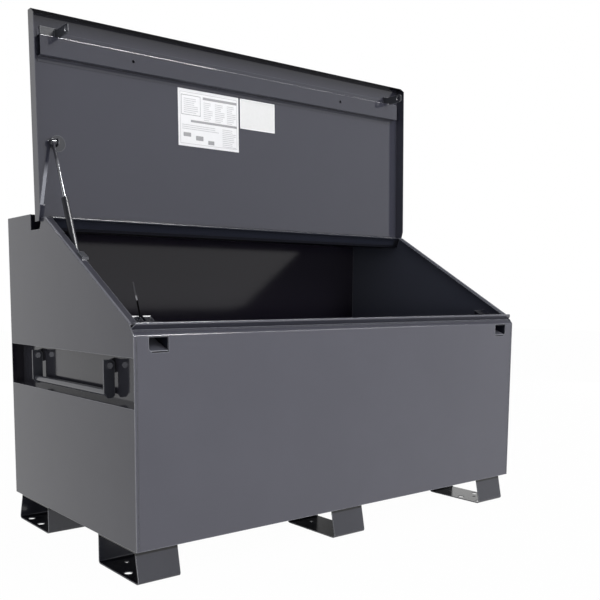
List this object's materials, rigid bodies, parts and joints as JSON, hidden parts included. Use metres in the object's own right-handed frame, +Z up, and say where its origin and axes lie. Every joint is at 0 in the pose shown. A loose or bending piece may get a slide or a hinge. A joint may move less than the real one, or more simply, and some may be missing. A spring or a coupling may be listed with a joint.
{
  "type": "jobsite storage box",
  "caption": "Slope-lid steel jobsite storage box on skids, with drop handles in side channels, padlock pockets and a lid stay; lid shown open.",
  "frame": {"origin": "on the ground under the middle of the footprint, skids included", "axes": "+X to the right along the front, +Y to the back, +Z up; the front with the padlock pockets faces -Y"},
  "size_m": [1.54, 0.81, 1.5396],
  "materials": {
    "body_paint": "satin",
    "side_paint": "satin",
    "lid_paint": "satin",
    "channel_paint": "satin",
    "trough_paint": "satin",
    "skid_paint": "satin",
    "handle_paint": "satin",
    "lock_paint": "satin",
    "hook_steel": "satin",
    "zinc_pin": "satin",
    "hinge_steel": "satin",
    "stay_black": "gloss",
    "chrome_rod": "polished",
    "card_print": "matte",
    "card_white": "matte",
    "tie_plastic": "matte"
  },
  "bodies": {
    "box": {"front_panel": "body_paint", "back_panel": "body_paint", "floor_panel": "body_paint", "left_side_panel": "side_paint", "right_side_panel": "side_paint", "rear_ledge": "trough_paint", "foot_front_left": "skid_paint", "foot_rear_left": "skid_paint", "foot_front_middle": "skid_paint", "foot_rear_middle": "skid_paint", "foot_front_right": "skid_paint", "foot_rear_right": "skid_paint", "hinge_box_leaf": "hinge_steel", "hinge_pin": "zinc_pin", "lock_housing_left": "lock_paint", "lock_housing_right": "lock_paint", "lock_tray_left": "lock_paint", "lock_tray_right": "lock_paint", "tie": "tie_plastic", "stay_box_bracket": "hook_steel", "slope_plate": "hook_steel", "handle_left_ear_front": "handle_paint", "handle_left_ear_rear": "handle_paint", "handle_right_ear_front": "handle_paint", "handle_right_ear_rear": "handle_paint"},
    "lid": {"lid_panel": "lid_paint", "lid_front_channel": "channel_paint", "hinge_lid_leaf": "hinge_steel", "instruction_card": "card_print", "blank_card": "card_white", "lid_hook_left": "hook_steel", "lid_hook_right": "hook_steel", "stay_lid_bracket": "hook_steel"},
    "stay_outer": {"stay_outer_tube": "stay_black"},
    "stay_middle": {"stay_middle_tube": "stay_black"},
    "stay_piston": {"stay_rod": "chrome_rod"},
    "handle_left": {"handle_left_arm_front": "handle_paint", "handle_left_arm_rear": "handle_paint", "handle_left_grip": "handle_paint"},
    "handle_right": {"handle_right_arm_front": "handle_paint", "handle_right_arm_rear": "handle_paint", "handle_right_grip": "handle_paint"}
  },
  "joints": [
    {"name": "lid_hinge", "type": "hinge", "parent": "box", "child": "lid", "pos_m": [0, 0.136, 0.951], "axis": [1, 0, 0], "range_deg": [0, 121.8]},
    {"name": "stay_pivot", "type": "hinge", "parent": "lid", "child": "stay_piston", "pos_m": [-0.712, 0.15806, 1.17309], "axis": [1, 0, 0], "range_deg": [-102.67, 0]},
    {"name": "stay_slide_high", "type": "slide", "parent": "stay_piston", "child": "stay_middle", "axis": [0, 0.3899, 0.9208], "range_m": [0, 0.1696]},
    {"name": "stay_slide_low", "type": "slide", "parent": "stay_middle", "child": "stay_outer", "axis": [0, 0.3899, 0.9208], "range_m": [0, 0.19887]},
    {"name": "handle_left_swing", "type": "hinge", "parent": "box", "child": "handle_left", "pos_m": [-0.746, 0.003, 0.543], "axis": [0, 1, 0], "range_deg": [-3, 100]},
    {"name": "handle_right_swing", "type": "hinge", "parent": "box", "child": "handle_right", "pos_m": [0.746, 0.003, 0.543], "axis": [0, -1, 0], "range_deg": [-3, 100]}
  ],
  "couplings": [
    {"joint": "stay_pivot", "follows": "lid_hinge", "ratio": -0.84288},
    {"joint": "stay_slide_high", "follows": "lid_hinge", "m_per_rad": 0.079734},
    {"joint": "stay_slide_low", "follows": "lid_hinge", "m_per_rad": 0.093505}
  ]
}
